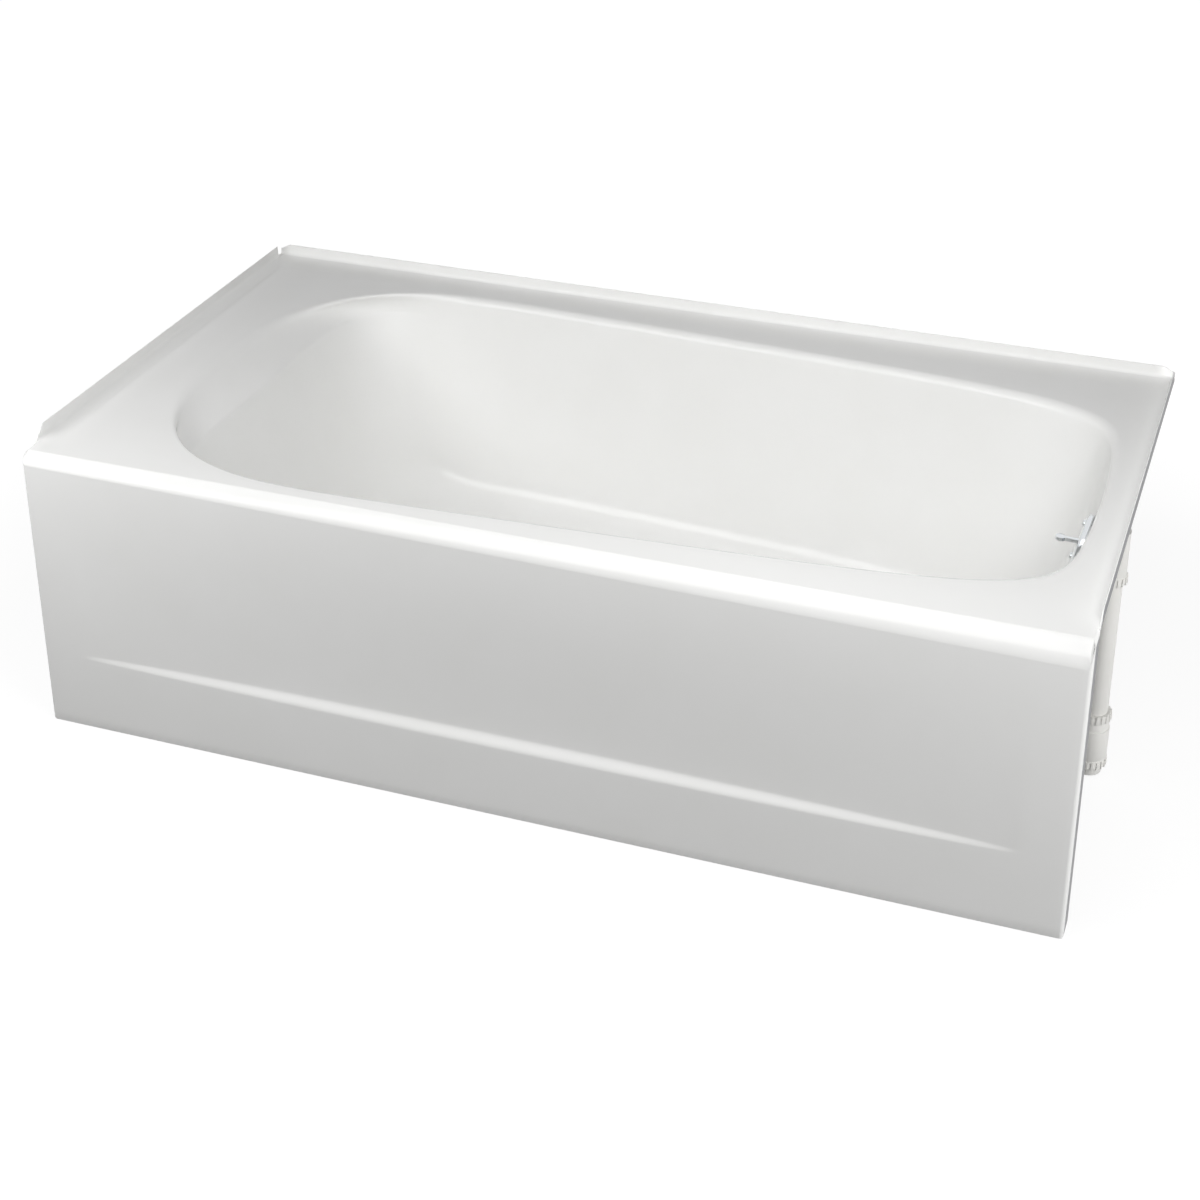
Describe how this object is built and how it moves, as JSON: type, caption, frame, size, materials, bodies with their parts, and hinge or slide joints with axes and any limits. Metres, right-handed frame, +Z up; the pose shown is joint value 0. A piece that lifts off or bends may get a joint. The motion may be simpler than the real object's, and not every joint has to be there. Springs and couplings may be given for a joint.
{
  "type": "alcove bathtub",
  "caption": "Recess bath of enamelled steel with a rolled apron, tiling flanges on its other sides, a sloped backrest and a trip-lever pop-up waste.",
  "frame": {"origin": "on the floor, at the middle of the footprint", "axes": "+X to the drain end, +Y to the back wall, +Z up; the apron faces -Y"},
  "size_m": [1.524, 0.813, 0.473],
  "materials": {
    "enamel": "glossy white enamel",
    "composite": "matt moulded composite",
    "zinc_steel": "zinc plated",
    "rubber": "matt black",
    "foam": "closed-cell foam",
    "chrome": "polished chrome plate",
    "tube_plastic": "white, extruded and moulded",
    "brass": "drawn and cast, unpolished",
    "pin_steel": "stainless"
  },
  "bodies": {
    "bath": {"bath_deck": "enamel", "bath_well": "enamel", "tiling_flange_head": "enamel", "tiling_flange_drain": "enamel", "tiling_flange_back": "enamel", "apron": "enamel", "composite_backing": "composite", "apron_stiffener": "zinc_steel", "apron_brace_head": "zinc_steel", "apron_brace_drain": "zinc_steel", "brace_screws": "zinc_steel", "floor_support_head": "composite", "floor_support_drain": "composite", "foot_pad_head_front": "rubber", "foot_pad_head_back": "rubber", "foot_pad_drain_front": "rubber", "foot_pad_drain_back": "rubber", "drain_strainer": "chrome", "drain_gasket": "rubber", "waste_shoe": "tube_plastic", "waste_tee": "tube_plastic", "tailpiece": "tube_plastic", "overflow_tube": "tube_plastic", "overflow_elbow": "tube_plastic", "overflow_gasket": "foam", "slip_nuts": "tube_plastic", "slip_washers": "rubber", "faceplate": "chrome", "faceplate_screws": "chrome", "lever_pin": "pin_steel", "lever_washer": "brass"},
    "lever": {"trip_lever": "chrome"},
    "linkage": {"yoke": "brass", "yoke_pin": "pin_steel", "linkage_rod": "brass", "rod_locknut": "zinc_steel", "striker_spring": "brass", "striker_tip": "brass"},
    "rocker": {"rocker_arm": "brass"},
    "stopper": {"stopper_cap": "chrome", "stopper_seal": "rubber", "stopper_stem": "brass", "stem_nut": "zinc_steel", "stem_pin": "pin_steel"}
  },
  "joints": [
    {"name": "linkage_slide", "type": "slide", "parent": "bath", "child": "linkage", "axis": [0, 0, -1], "range_m": [0, 0.01437]},
    {"name": "lever_turn", "type": "hinge", "parent": "bath", "child": "lever", "pos_m": [0.69802, -0.01, 0.37427], "axis": [0, 1, 0], "range_deg": [0, 22.2]},
    {"name": "rocker_turn", "type": "hinge", "parent": "bath", "child": "rocker", "pos_m": [0.61, -0.01, 0.04168], "axis": [0, 1, 0], "range_deg": [0, 6.63]},
    {"name": "stopper_slide", "type": "slide", "parent": "bath", "child": "stopper", "axis": [0, 0, 1], "range_m": [0, 0.00861]}
  ],
  "couplings": [
    {"joint": "lever_turn", "follows": "linkage_slide", "rad_per_m": 26.711},
    {"joint": "rocker_turn", "follows": "linkage_slide", "rad_per_m": 7.9912},
    {"joint": "stopper_slide", "follows": "linkage_slide", "ratio": 0.592}
  ]
}
